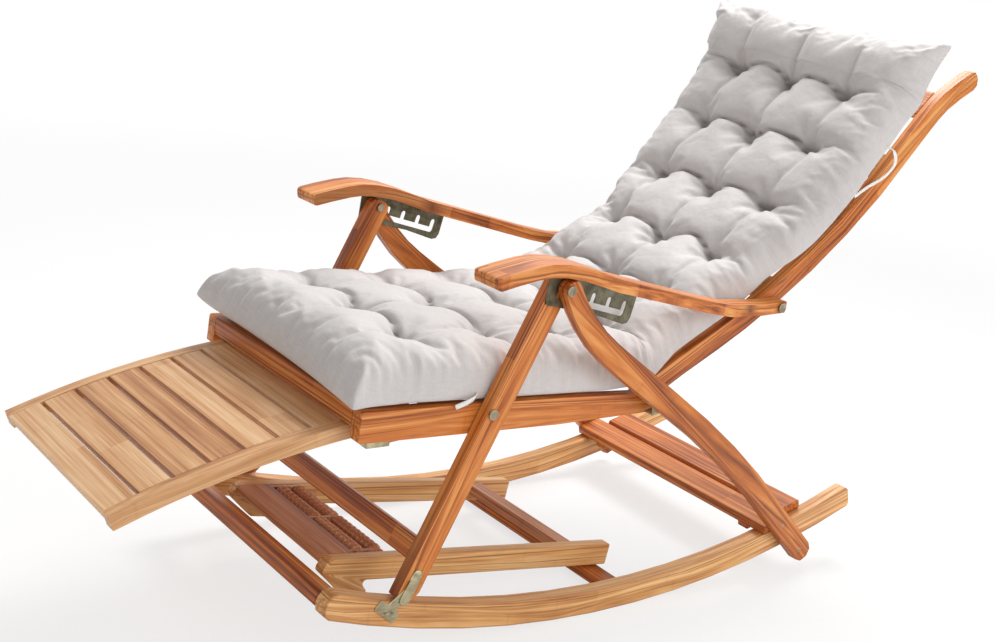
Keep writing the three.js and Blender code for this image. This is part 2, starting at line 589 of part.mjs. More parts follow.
for (const [name, side] of sides) {
  const armWide = slab(armOutline, frontLegIn / 2, rearLegOut, 1).intersect(armPlanBody);
  const armBody = side > 0 ? armWide : armWide.mirror([1, 0, 0]);
  const hole = (centre, radius, from, to) => pin(centre, radius + boltPlay, from, to, side);

  piece(`rocker_${name}`, slab(rockerOutline, rockerIn, rockerThick, side), rockerBamboo);
  piece(`roller_rail_${name}`,
    slab(railOutline, rollerRailInHalf, rollerRailOutHalf - rollerRailInHalf, side).subtract(spreaderRoom), rockerBamboo);

  piece(`front_leg_${name}`, slab(legOutline, frontLegIn, frontLegThick, side)
    .subtract(hole(legFoot, rivetRadius, frontLegOut - rivetDepth - contactGap, frontLegOut + overrun))
    .subtract(hole(seatBolt, boltRadius, frontLegIn - overrun, frontLegOut + overrun))
    .subtract(hole(topBolt, boltRadius, frontLegIn - overrun, frontLegOut + overrun)), frameBamboo);
  let plate = slab(plateOutline, plateIn, plateThick, side)
    .add(slab(plateArm, plateIn, plateThick, side))
    .subtract(hole(legFoot, rivetRadius, plateIn - overrun, plateOut + overrun));
  for (const [y, z] of plateScrews) {
    plate = plate.subtract(pin(point(y, z), plateScrewRadius, plateIn - overrun, plateOut + overrun, side));
  }
  piece(`hinge_plate_${name}`, plate, plateBronze);
  const strap = slab(strapOutline, plateIn, strapOut - plateIn, side)
    .subtract(slab(stepRoom(strapStepStart - frontLegWidth, frontLegWidth * 2), plateIn - overrun, strapIn - plateIn + overrun, side))
    .subtract(slab(stepRoom(strapStepStart + strapStepLength + frontLegWidth, frontLegWidth * 2), plateOut, overrun * 2, side))
    .add(pin(legFoot, rivetRadius, frontLegOut - rivetDepth, strapOut, side));
  piece(`leg_strap_${name}`, strap, plateBronze);
  const seatBoltHead = frontLegOut + contactGap;
  const seatNutOut = seatRailIn - contactGap;
  piece(`seat_bolt_${name}`, pin(seatBolt, boltHeadRadius, seatBoltHead, seatBoltHead + boltHeadHeight, side)
    .add(pin(seatBolt, boltRadius, seatNutOut - nutHeight, seatBoltHead + boltHeadHeight, side))
    .add(pin(seatBolt, nutRadius, seatNutOut - nutHeight, seatNutOut, side)), boltSteel);
  const topNutOut = frontLegIn - contactGap;
  piece(`top_nut_${name}`, pin(topBolt, nutRadius, topNutOut - nutHeight, topNutOut, side)
    .add(pin(topBolt, boltRadius, topNutOut - nutHeight, frontLegOut + contactGap, side)), boltSteel);

  piece(`rear_leg_${name}`, slab(rearOutline, rearLegIn, rearLegThick, side)
    .subtract(hole(topBolt, boltRadius, rearLegIn - overrun, rearLegOut + overrun)), frameBamboo);
  const headIn = rearLegOut + contactGap;
  piece(`top_bolt_${name}`, pin(topBolt, boltHeadRadius, headIn, headIn + boltHeadHeight, side)
    .add(pin(topBolt, boltRadius, rearLegIn, headIn + boltHeadHeight, side)), boltSteel);
  piece(`seat_saddle_${name}`, slab(saddleOutline, saddleOut - saddleReach, saddleReach, side)
    .add(slab(saddlePlate, saddleOut - saddleThick, saddleThick, side)), plateBronze);

  piece(`seat_rail_${name}`, slab(seatOutline, seatRailIn, seatRailThick, side)
    .add(slab(guideLedge, guideInHalf, seatRailIn + overrun - guideInHalf, side))
    .add(slab(guideWeb, guideWebInHalf, seatRailIn + overrun - guideWebInHalf, side))
    .subtract(hole(seatBolt, boltRadius, seatRailIn - overrun, seatRailOut + overrun))
    .subtract(hole(seatHinge, hingeBoltRadius, seatRailIn - overrun, seatRailOut + overrun)), frameBamboo);
  const hingeHead = backInnerHalf - contactGap;
  piece(`hinge_bolt_${name}`, pin(seatHinge, hingeBoltRadius, hingeHead - boltHeadHeight, hingeBoltOutHalf, side)
    .add(pin(seatHinge, boltHeadRadius, hingeHead - boltHeadHeight, hingeHead, side)), boltSteel);

  piece(`back_rail_${name}`, slab(backOutline, backInnerHalf, backRailThick, side)
    .subtract(hole(seatHinge, hingeBoltRadius, backInnerHalf - overrun, backRailOut + overrun))
    .subtract(hole(armBolt, boltRadius, backInnerHalf - overrun, backRailOut + overrun)), frameBamboo);
  const armBoltHead = Math.max(...armPlan.filter(([, y]) => y > armBoltY).map(([x]) => x)) + boltHeadHeight;
  const armBoltHole = hole(armBolt, boltRadius, backInnerHalf, rearLegOut);
  piece(`armrest_${name}`, armBody.subtract(armBoltHole), frameBamboo);
  piece(`arm_bolt_${name}`, pin(armBolt, boltHeadRadius, armBoltHead, armBoltHead + boltHeadHeight, side)
    .add(pin(armBolt, boltRadius, backInnerHalf - nutHeight, armBoltHead + boltHeadHeight, side))
    .add(pin(armBolt, nutRadius, backInnerHalf - contactGap - nutHeight, backInnerHalf - contactGap, side)), boltSteel);
  let rack = slab(rounded(rackOutline), rackIn, rackThick, side)
    .subtract(slab(channel, rackIn - overrun, rackThick + overrun * 2, side));
  for (const notch of notches) rack = rack.subtract(slab(notch, rackIn - overrun, rackThick + overrun * 2, side));
  piece(`rack_plate_${name}`, rack.subtract(armBody).subtract(armBody.translate([0, 0, -contactGap])), plateBronze);
}

// Seat cross pieces
const seatBarHalf = seatRailIn - contactGap;
const frontRailMiddle = point(seatFrontY + frontRailThick / 2, frontRailTop - frontRailHeight / 2);
piece('seat_front_rail', crossBar(tilted(frontRailMiddle, frontRailThick, frontRailHeight, 0), seatBarHalf), frameBamboo);
const seatTopFront = point(seatFrontY, seatFrontZ + seatFrontHeight / 2);
const seatTopMid = point(seatMidY, seatMidZ + seatMidHeight / 2);
const seatTopAngle = THREE.MathUtils.radToDeg(seatTopMid.clone().sub(seatTopFront).angle());
seatSlatShares.forEach((share, k) => {
  const top = seatTopFront.clone().lerp(seatTopMid, share);
  const middle = point(0, -seatSlatThick / 2).rotateAround(point(0, 0), radians(seatTopAngle)).add(top);
  piece(`seat_slat_${k + 1}`, crossBar(tilted(middle, seatSlatWidth, seatSlatThick, seatTopAngle), seatBarHalf), boardBamboo);
});

// Backrest cross pieces, set just behind the front face of the rails
const backBarHalf = backInnerHalf - contactGap;
const backBar = (share, width, thick) => {
  const along = backCurve.getTangent(share);
  const angle = THREE.MathUtils.radToDeg(along.angle());
  const depth = backRailDepth / 2 - backSlatSetback - thick / 2;
  const middle = backCurve.getPoint(share).add(point(-along.y, along.x).multiplyScalar(depth));
  return crossBar(tilted(middle, width, thick, angle), backBarHalf);
};
backSlatShares.forEach((share, k) => piece(`back_slat_${k + 1}`, backBar(share, backSlatWidth, backSlatThick), boardBamboo));
piece('back_crest', backBar(crestShare, crestWidth, crestThick), frameBamboo);

// Footrest: rails joined by the first and last boards, the others held between the rails
const footTop = footArcRadius + footRailDepth;
const footFront = archAngle(footFrontY);
const footPitch = (archAngle(footLastBoardY) - footFront) / footBoardCount;
const footGapAngle = THREE.MathUtils.radToDeg(footBoardGap / footArcRadius);
const footBoard = (k, half) => {
  const start = footFront + k * footPitch;
  const end = start + footPitch - footGapAngle;
  return crossBar(archOutline(footTop - footBoardDepth, footTop, start, end, 1), half);
};
let footFrameBody = footBoard(0, footRailOutHalf - footRailDepth / 2)
  .add(footBoard(footBoardCount - 1, footRailOutHalf - footRailDepth / 2));
const footRailOutline = archOutline(footArcRadius, footTop, footFront, archAngle(footRearY), footRailSteps);
for (const [, side] of sides) {
  footFrameBody = footFrameBody.add(slab(footRailOutline, footRailInHalf, footRailOutHalf - footRailInHalf, side));
}
piece('footrest_frame', footFrameBody, boardBamboo);
for (let k = 1; k < footBoardCount - 1; k += 1) {
  piece(`footrest_board_${k}`, footBoard(k, footRailInHalf - contactGap), boardBamboo);
}

// Tufted pad: a grid over a path, thick in the middle, drawn in to a seam round the rim
function cushion(path, thick, steps, tuftShares) {
  const curve = new THREE.SplineCurve(path.map(([y, z]) => point(y, z)));
  const length = curve.getLength();
  const swell = (t) => Math.sqrt(Math.max(0, 1 - Math.abs(2 * t - 1) ** cushionEdgePower));
  const tufts = tuftShares.flatMap((along) => tuftAcrossShares.map((across) => [along, across]));
  const rim = thick * cushionRimShare;
  const surface = (top) => (u, v) => {
    const full = swell(u) * swell(v);
    const dent = tufts.reduce((sum, [a, b]) => sum + tuftDepth * Math.exp(
      -(((u - a) * length) ** 2 + ((v - b) * cushionHalfWidth * 2) ** 2) / tuftSpread ** 2), 0);
    const height = top ? rim + (thick - rim - dent) * full : rim * (1 - full);
    const along = curve.getTangentAt(u);
    const at = curve.getPointAt(u).add(point(-along.y, along.x).multiplyScalar(height + cushionLift));
    return [(v * 2 - 1) * cushionHalfWidth, at.x, at.y];
  };
  const positions = [];
  const triangles = [];
  for (const top of [true, false]) {
    const place = surface(top);
    const base = positions.length / 3;
    for (let i = 0; i <= steps; i += 1) {
      for (let j = 0; j <= cushionAcross; j += 1) positions.push(...place(i / steps, j / cushionAcross));
    }
    for (let i = 0; i < steps; i += 1) {
      for (let j = 0; j < cushionAcross; j += 1) {
        const a = base + i * (cushionAcross + 1) + j;
        const [b, c, d] = [a + 1, a + cushionAcross + 2, a + cushionAcross + 1];
        const sameDiagonal = (i < steps / 2) === (j < cushionAcross / 2);
        const cell = sameDiagonal ? [a, b, c, a, c, d] : [a, b, d, b, c, d];
        triangles.push(...(top ? cell : cell.reverse()));
      }
    }
  }
  const geometry = new THREE.BufferGeometry();
  geometry.setAttribute('position', new THREE.Float32BufferAttribute(positions, 3));
  geometry.setIndex(triangles);
  return solid(geometry);
}
// Both halves end on planes through the hinge, spread so that the back can come upright
function trimmed(body, forward, slant) {
  const normal = point(-1, 0).rotateAround(point(0, 0), radians(slant)).multiplyScalar(forward);
  return body.trimByPlane([0, normal.x, normal.y], normal.dot(seatHinge) + contactGap);
}
const seatPad = cushion(seatCushionPath, seatCushionThick, seatCushionSteps, seatTuftShares);
const backFace = backCushionShares.map((share) => {
  const along = backCurve.getTangent(share);
  const face = backCurve.getPoint(share).add(point(-along.y, along.x).multiplyScalar(backRailDepth / 2));
  return [face.x, face.y];
});
const backPad = cushion([...backFace, ...backCushionTop], backCushionThick, backCushionSteps, backTuftShares);
piece('seat_cushion', trimmed(seatPad, 1, seatCreaseSlant), cushionCloth);
piece('back_cushion', trimmed(backPad, -1, backCreaseSlant), cushionCloth);

// The origin lies under the middle of the chair, on the floor
const box = new THREE.Box3().setFromObject(chair);
const middle = box.getCenter(new THREE.Vector3());
for (const node of chair.children) node.geometry.translate(-middle.x, -middle.y, -box.min.z);

export default chair;
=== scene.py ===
"""Looks of the folding rocking chair: varnished bamboo, bronze plates and a tufted cotton cushion.

Lengths are in metres. x points to the sitter's left, y to the back and z up.
"""
import json
import math

import bmesh
import bpy
import numpy as np
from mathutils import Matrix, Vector

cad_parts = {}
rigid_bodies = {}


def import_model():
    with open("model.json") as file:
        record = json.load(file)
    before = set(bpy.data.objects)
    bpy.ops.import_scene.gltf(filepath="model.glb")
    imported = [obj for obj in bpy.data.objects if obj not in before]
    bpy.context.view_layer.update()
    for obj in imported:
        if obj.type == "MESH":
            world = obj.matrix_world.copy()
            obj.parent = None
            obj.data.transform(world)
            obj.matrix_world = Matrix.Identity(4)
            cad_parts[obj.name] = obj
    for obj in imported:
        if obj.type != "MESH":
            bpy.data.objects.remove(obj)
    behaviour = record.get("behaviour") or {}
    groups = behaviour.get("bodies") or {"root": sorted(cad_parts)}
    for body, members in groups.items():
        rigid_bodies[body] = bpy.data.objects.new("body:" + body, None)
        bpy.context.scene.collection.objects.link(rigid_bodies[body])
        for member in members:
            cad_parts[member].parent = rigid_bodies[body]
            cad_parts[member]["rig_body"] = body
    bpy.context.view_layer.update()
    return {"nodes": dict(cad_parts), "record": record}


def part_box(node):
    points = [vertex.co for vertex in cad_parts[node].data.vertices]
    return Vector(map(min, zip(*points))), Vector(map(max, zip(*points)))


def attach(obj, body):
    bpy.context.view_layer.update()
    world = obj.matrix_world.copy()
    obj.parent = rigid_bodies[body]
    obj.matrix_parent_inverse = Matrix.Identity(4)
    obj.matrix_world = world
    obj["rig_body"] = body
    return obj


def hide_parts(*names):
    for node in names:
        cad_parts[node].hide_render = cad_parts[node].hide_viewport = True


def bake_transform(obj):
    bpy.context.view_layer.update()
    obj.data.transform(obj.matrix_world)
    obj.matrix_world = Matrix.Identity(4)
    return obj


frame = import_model()
nodes = frame["nodes"]
SIDES = ((1, "left"), (-1, "right"))
WHITE = (1, 1, 1, 1)

# Camera, solved from the photograph: turn in degrees, lens and sensor in millimetres
CAMERA_PLACE = (1.7496, -1.5069, 1.0632)
CAMERA_TURN = (74.392, -7.997, 52.822)
CAMERA_LENS = 50.132
CAMERA_SENSOR = 36

# Lamps: name, place, aim, size and power
LAMPS = (
    ("key", (-0.8, 1.3, 3.0), (0, 0, 0.4), 1.5, 98),
    ("front", (2.4, -2.4, 1.2), (0, 0, 0.4), 2.2, 9),
    ("side", (2.9, 0.9, 1.5), (0, 0.2, 0.4), 2.0, 34),
)
WORLD_STRENGTH = 0.45

# Floor: the share of white that the camera sees rises with the distance from the chair
FLOOR_HALF = 90
FLOOR_LOOK = {"Base Color": (0.93, 0.93, 0.925, 1), "Roughness": 0.9}
GLOW_REACH = (1.2, 4.5)
GLOW_SHARE = (0.72, 1.0)

# Rounded edges, by kind of piece
EDGE_HAND = 0.005
EDGE_RAIL = 0.003
EDGE_BOARD = 0.0018
EDGE_ROLLER = 0.0012
EDGE_BOLT = 0.0012
EDGE_PLATE = 0.0003
MERGE_GAP = 2e-5
FLAT_ANGLE = math.radians(1)
BEVEL_ANGLE = math.radians(28)
CRISP_ANGLE = math.radians(38)

# Bamboo: scales of its patterns along, across and through a piece, and their shares in the colour
WANDER_SCALES = (3, 0, 0)
FIBRE_SCALES = (9, 330, 330)
VEIN_SCALES = (2.2, 130, 130)
CLOUD_SCALES = (5, 18, 18)
FIBRE_SHARE = 0.8
VEIN_SHARE = 1.25
CLOUD_SHARE = 0.45
STRIP_SHARE = 0.26
TONE_SHARE = 0.3
RING_SHARE = -0.05
SEAM_SHARE = -0.10
STRIP_WANDER = 0.006
RING_STEP = 0.27
RING_SPREAD = 7.3
RING_HALF = 0.014
SEAM_WIDTH = 0.05
TURNED_OFFSET = 7.0
WOOD_STOPS = (0.12, 0.5, 0.86)
VARNISH = {"Coat Weight": 0.06, "Coat Roughness": 0.25, "Specular IOR Level": 0.35}
GLUE_SHADE = "#7a4a30"
GLUE_SHARE = 0.9
GLUE_SHAKE = 0.0016
WORN_SHADE = "#a8714e"
WORN_SHARE = 0.75
WOOD_RELIEF = (0.0003, 0.3)
GRAIN_START = 2
GRAIN_STEP = 0.731
BEND_DEGREE = 5
BEND_POINTS = 60

# Glue lines that show on the faces: axis, place and half width
FRAME_GLUE = (("through", 0.001, 0.0018), ("across", 0.0125, 0.0022), ("across", 0.006, 0.0014))
ROCKER_GLUE = (("across", 0.0125, 0.0016), ("across", -0.004, 0.0008))

BOARD_COLOURS = ("#a3683c", "#cf9a68", "#e8c094")
BOARD_STRIP = 0.03
BOARD_CONTRAST = 0.9
BOARD_TONES = {
    "footrest_board_1": 0.25, "footrest_board_2": -0.2, "footrest_board_3": -0.75,
    "footrest_board_4": 0.2, "footrest_board_5": 0.05, "footrest_frame": 0.15,
}
# Parts of the names of the pieces whose grain runs from side to side
ACROSS = (
    "spreader", "crossbar", "rear_bar", "plank", "foot_boards", "front_rail", "slat", "crest",
    "footrest_board", "tray", "foot_roller",
)

METAL_STOPS = (0.28, 0.74)
METAL_RELIEF = (0.0002, 0.5)

THREAD = 0.0011
COTTON_STOPS = (0.2, 0.5, 0.8)
COTTON_SHEEN = {"Sheen Weight": 0.22, "Sheen Roughness": 0.4}
# Painted shade in the creases and around the tufts: its colour, its share and the power applied to the fold
# mask
FOLD_PAINTED_SHADE = "#8d8683"
FOLD_PAINTED_SHADE_SHARE = 0.85
FOLD_PAINTED_SHADE_POWER = 1.8
CRUMPLE_RELIEF = (0.005, 0.6)
WEAVE_RELIEF = (0.00025, 0.6)

# Cushion: the path of its underside in (y, z), and profiles over the length along that path:
# the height of the sewn rim, half the width, and how far the cushion stands off the path
PAD_PATH = (
    (-0.5086, 0.4024), (-0.4836, 0.4016), (-0.3386, 0.3965), (-0.1146, 0.3887), (0.0014, 0.3858),
    (0.0773, 0.3890), (0.1358, 0.4165), (0.2370, 0.4694), (0.3266, 0.5218), (0.4456, 0.6063),
    (0.5593, 0.7079), (0.6662, 0.8285), (0.6984, 0.8999), (0.7244, 0.9674),
)
PAD_RIMS = ((0, 0.020), (0.08, 0.009), (0.50, 0.005), (0.70, 0.012), (1.0, 0.022), (1.5, 0.022))
PAD_HALVES = (
    (0.0, 0.252), (0.03, 0.246), (0.09, 0.240), (0.14, 0.2385), (0.45, 0.2395), (0.58, 0.238), (0.67, 0.2155),
    (0.90, 0.2155), (0.96, 0.232), (1.06, 0.246), (1.38, 0.249), (1.46, 0.254), (1.50, 0.258),
)
PAD_LIFTS = ((0, 0), (0.90, 0), (1.01, 0.009), (1.15, 0.030), (1.29, 0.050), (1.40, 0.060), (1.50, 0.064))
PAD_THICK = 0.082
PAD_CELL = 0.0068
PAD_SPAN = 0.5
PAD_UNEVEN = 0.0025
PAD_UNEVEN_PERIOD = 0.29
PAD_UNEVEN_SHARES = ((0.55, 0.3), (0.75, 1))
ROUND_FRONT = 0.075
ROUND_TOP = 0.120
ROUND_SIDE = 0.062
RIM_CLOSE = 0.05
CURVE_STEPS = 24

# Its ends: bowed, and twisted where the photograph shows one corner higher
END_BOW = 0.012
END_BOW_REACH = 0.10
TOP_TWIST = 0.030
TOP_TWIST_FROM = 1.16
TOP_TWIST_POWER = 1.5
FRONT_TWIST = 0.010
FRONT_TWIST_REACH = 0.12

# Its tufts, the sewn creases between them and the puckers around them
TUFT_ROWS = (0.148, 0.298, 0.440, 0.575, 0.720, 0.865, 1.012, 1.155, 1.290)
TUFT_COLUMNS = (-0.130, 0.0, 0.130)
TUFT_SHAKE = (0.004, 0.003)
TUFT_DEPTH = 0.024
TUFT_RADIUS = 0.026
TUFT_POWER = 1.2
CREASE_DEPTH = 0.009
CREASE_WIDTH = 0.0068
ROW_BOW = 0.015
ROW_BOW_POWER = 0.8
ROW_SWAY = (0.003, 0.21)
ROW_FADE = (0.02, 0.08, 0.1)
COLUMN_SWAY = (0.006, 0.31)
COLUMN_SHARE = 0.55
COLUMN_FADE = (0.10, 0.15)
PUCKER_HEIGHT = 0.0034
PUCKER_REACH = 0.022
PUCKER_WIDTH = 0.018
PUCKER_FOLDS = (6, 9)
PUCKER_TURNS = (0, 6.28)
PUCKER_SHARES = (0.6, 1.3)

# Gathers of its rim: period and reach at the sides and at the ends. Wrinkles near rim and tufts
GATHER_HEIGHT = 0.0055
GATHER_SIDE = (0.047, 0.026)
GATHER_END = (0.052, 0.024)
GATHER_FADE = 0.006
WRINKLE_HEIGHT = 0.0034
WRINKLE_REACH = 0.09
WRINKLE_TUFTS = 0.8
WRINKLE_FADE = 0.01
FOLD_TUFTS = 0.7
FOLD_DEPTH = 0.0075
FOLD_SHARPNESS = 1.5
UNDERSIDE_SHIFT = (0, 0, 0.05)

# Its cloth simulation; a point moves by no more than the cap
CLOTH_FRAMES = 20
CLOTH_CAP = 0.024
CLOTH_SETTINGS = {
    "quality": 6, "mass": 0.3, "vertex_group_mass": "held", "pin_stiffness": 6,
    "use_pressure": True, "uniform_pressure_force": 4, "shrink_min": -0.075,
    "tension_stiffness": 12, "compression_stiffness": 10, "shear_stiffness": 4, "bending_stiffness": 0.12,
}
HELD_TUFTS = (0.72, 0.1)

# Small fittings: screws as places in (y, z), radius and height, then tabs, lip and ties
PLATE_SCREWS = ((-0.4166, 0.0904), (-0.4041, 0.0881))
PLATE_SCREW_SIZE = (0.0032, 0.0012)
PLATE_SCREW_SINK = 0.0002
LEG_SCREW = (0.4975, 0.0447)
LEG_SCREW_SIZE = (0.0036, 0.0012)
BOARD_SCREW = (0.4330, 0.1045)
BOARD_SCREW_SIZE = (0.0030, 0.0010)
SCREW_PROFILE = ((1.0, -0.2), (1.0, 0.35), (0.86, 0.72), (0.6, 0.95), (0.34, 1.0), (0.3, 0.45))
SCREW_STEPS = 20
TAB_LOW = (0.2225, -0.468, 0.3440)
TAB_HIGH = (0.2365, -0.428, 0.3545)
TAB_EDGE = 0.0012
LIP_BACK = 0.002
LIP_DROP = 0.0045
LIP_SINK = 0.001
LIP_EDGE = 0.001
LIP_GRAIN = 61
SEAT_TIE = (
    (0.230, -0.280, 0.4100), (0.2430, -0.290, 0.4080), (0.2460, -0.302, 0.4035),
    (0.2450, -0.314, 0.3990), (0.2430, -0.324, 0.3950),
)
SEAT_TIE_SIZE = (0.007, 0.0012)
SEAT_TIE_SIDE = (0, 0.5, 1)
BACK_TIE = (
    (0.243, 0.556, 0.800), (0.249, 0.572, 0.792), (0.246, 0.586, 0.770),
    (0.236, 0.578, 0.744), (0.224, 0.552, 0.722), (0.2185, 0.528, 0.703),
)
BACK_TIE_SIZE = (0.0065, 0.0014)
BACK_TIE_SIDE = (0, 1, -0.4)
TIE_PROFILE = ((-1, -1), (1, -1), (1.04, 0), (1, 1), (-1, 1), (-1.04, 0))
TIE_STEPS = 8
BLOCK_STEPS = 3


def srgb(code):
    """Linear colour of a hex code."""
    parts = [int(code[i:i + 2], 16) / 255 for i in (1, 3, 5)]
    linear = [c / 12.92 if c <= 0.04045 else ((c + 0.055) / 1.055) ** 2.4 for c in parts]
    return (*linear, 1)


class Graph:
    """The node tree of a material or of the world."""

    def __init__(self, owner):
        owner.use_nodes = True
        self.owner = owner
        self.tree = owner.node_tree

    def fill(self, node, inputs):
        """Sets or links the inputs of a node, which may be named if Blender made it."""
        if isinstance(node, str):
            node = self.tree.nodes[node]
        for key, value in inputs.items():
            if isinstance(value, bpy.types.NodeSocket):
                self.tree.links.new(value, node.inputs[key])
            else:
                node.inputs[key].default_value = value
        return node

    def add(self, kind, inputs=None, **settings):
        node = self.tree.nodes.new("ShaderNode" + kind)
        for key, value in settings.items():
            setattr(node, key, value)
        return self.fill(node, inputs or {})

    def math(self, operation, a, b=0.0, c=0.0):
        return self.add("Math", {0: a, 1: b, 2: c}, operation=operation).outputs[0]

    def attribute(self, name, output="Fac"):
        return self.add("Attribute", attribute_name=name).outputs[output]

    def split(self, vector):
        return self.add("SeparateXYZ", {"Vector": vector}).outputs[:3]

    def line(self, value, centre, half):
        """1 at centre, falling to 0 at half from it."""
        away = self.math("ABSOLUTE", self.math("SUBTRACT", value, centre))
        close = self.math("SUBTRACT", 1.0, self.math("DIVIDE", away, half))
        return self.add("Clamp", {"Value": close}).outputs[0]

    def noise(self, vector, scale, detail=3.0, rough=0.55):
        """Noise from 0 to 1; scale is a number, or a tuple with one for each axis."""
        if isinstance(scale, tuple):
            vector = self.add("VectorMath", {0: vector, 1: scale}, operation="MULTIPLY").outputs[0]
            scale = 1.0
        inputs = {"Vector": vector, "Scale": scale, "Detail": detail, "Roughness": rough}
        return self.add("TexNoise", inputs).outputs["Fac"]

    def weighed(self, total, centred=(), plain=()):
        """Adds patterns times their shares; a centred pattern counts from 0.5."""
        for pattern, share in centred:
            total = self.math("MULTIPLY_ADD", self.math("SUBTRACT", pattern, 0.5), share, total)
        for pattern, share in plain:
            total = self.math("MULTIPLY_ADD", pattern, share, total)
        return total

    def remap(self, value, source, target):
        """Maps the range source onto the range target."""
        inputs = {"Value": value, "From Min": source[0], "From Max": source[1],
                  "To Min": target[0], "To Max": target[1]}
        return self.add("MapRange", inputs).outputs[0]

    def mix(self, share, a, b, blend="MIX"):
        return self.add("Mix", {0: share, 6: a, 7: b}, data_type="RGBA", blend_type=blend).outputs[2]

    def shaded(self, colour, shade, share):
        """The colour, multiplied by the hex colour shade where share is 1."""
        return self.mix(share, colour, self.mix(1.0, colour, srgb(shade), "MULTIPLY"))

    def ramp(self, value, places, codes):
        node = self.add("ValToRGB", {"Fac": value})
        elements = node.color_ramp.elements
        while len(elements) < len(places):
            elements.new(0.5)
        for element, place, code in zip(elements, places, codes):
            element.position = place
            element.color = srgb(code)
        return node.outputs["Color"]

    def bump(self, height, relief, normal=None):
        """A bump of the depth and strength in relief."""
        inputs = {"Height": height, "Distance": relief[0], "Strength": relief[1]}
        if normal is not None:
            inputs["Normal"] = normal
        return self.add("Bump", inputs).outputs["Normal"]

    def finish(self, colour, rough, normal, look):
        """Fills the material's shader and gives the material."""
        self.fill("Principled BSDF", {"Base Color": colour, "Roughness": rough, "Normal": normal, **look})
        return self.owner


def bamboo(name, colours, glue=(), strip=0.021, contrast=1.0, rails_from=None):
    """Varnished bamboo laminate: strips, fibres, growth rings and dark glue lines.

    With rails_from, the grain turns by a right angle nearer to the chair's middle than that.
    """
    g = Graph(bpy.data.materials.new(name))
    grain = g.attribute("grain", "Vector")
    along, across, through = g.split(grain)
    if rails_from:
        on_rail = g.math("GREATER_THAN", g.math("ABSOLUTE", across), rails_from)
        shifted = g.math("ADD", across, TURNED_OFFSET)
        turned = g.add("CombineXYZ", {"X": shifted, "Y": along, "Z": through}).outputs[0]
        grain = g.add("Mix", {0: on_rail, 4: turned, 5: grain}, data_type="VECTOR").outputs[1]
        along, across, through = g.split(grain)

    wander = g.math("MULTIPLY", g.noise(grain, WANDER_SCALES), STRIP_WANDER)
    strips = g.math("DIVIDE", g.math("ADD", across, wander), strip)
    number = g.math("ADD", g.math("FLOOR", strips), g.math("FLOOR", along))
    strip_tone = g.add("TexWhiteNoise", {"W": number}, noise_dimensions="1D").outputs["Value"]
    fibre = g.noise(grain, FIBRE_SCALES)
    vein = g.noise(grain, VEIN_SCALES, 3.0, 0.5)
    cloud = g.noise(grain, CLOUD_SCALES, 2.0, 0.5)
    rings = g.math("ADD", g.math("DIVIDE", along, RING_STEP), g.math("MULTIPLY", strip_tone, RING_SPREAD))
    ring = g.line(g.math("FRACT", rings), 0.5, RING_HALF)
    seam = g.remap(g.line(g.math("FRACT", strips), 0.5, 0.5), (0.0, SEAM_WIDTH), (1.0, 0.0))

    centred = ((fibre, FIBRE_SHARE), (vein, VEIN_SHARE), (cloud, CLOUD_SHARE), (strip_tone, STRIP_SHARE))
    total = g.weighed(0.5, [(pattern, share * contrast) for pattern, share in centred],
                      ((g.attribute("tone"), TONE_SHARE), (ring, RING_SHARE), (seam, SEAM_SHARE)))
    colour = g.ramp(total, WOOD_STOPS, colours)
    height = g.math("MULTIPLY_ADD", seam, -0.5, g.math("MULTIPLY", fibre, 0.6))

    if glue:
        shake = g.math("MULTIPLY", g.math("SUBTRACT", cloud, 0.5), GLUE_SHAKE)
        groove = 0.0
        for axis, place, half in glue:
            value = {"across": across, "through": through}[axis]
            groove = g.math("MAXIMUM", groove, g.line(g.math("ADD", value, shake), place, half))
        groove = g.math("MULTIPLY", groove, g.remap(vein, (0.32, 0.56), (0.25, 1.0)))
        colour = g.shaded(colour, GLUE_SHADE, g.math("MULTIPLY", groove, GLUE_SHARE))
        height = g.math("MULTIPLY_ADD", groove, -2.2, height)

    worn = g.math("MULTIPLY", g.attribute("edge"), g.math("MULTIPLY", vein, WORN_SHARE))
    colour = g.shaded(colour, WORN_SHADE, worn)
    rough = g.remap(fibre, (0.25, 0.75), (0.36, 0.5))
    return g.finish(colour, rough, g.bump(height, WOOD_RELIEF), VARNISH)


def metal(name, colours, roughness, brush_scales, spot_scale):
    """Plated steel with brush lines, handling marks and dull spots."""
    g = Graph(bpy.data.materials.new(name))
    place = g.add("TexCoord").outputs["Object"]
    brush = g.noise(place, brush_scales, 4.0, 0.6)
    marks = g.noise(place, 38.0, 4.0, 0.6)
    dull = g.noise(place, spot_scale, 2.0, 0.5)
    total = g.weighed(marks, ((brush, 0.7), (dull, 0.5)), ((g.attribute("edge"), 0.22),))
    colour = g.ramp(total, METAL_STOPS, colours)
    rough = g.remap(total, (0.2, 0.8), (roughness + 0.12, roughness - 0.08))
    return g.finish(colour, rough, g.bump(brush, METAL_RELIEF), {"Metallic": 0.85})


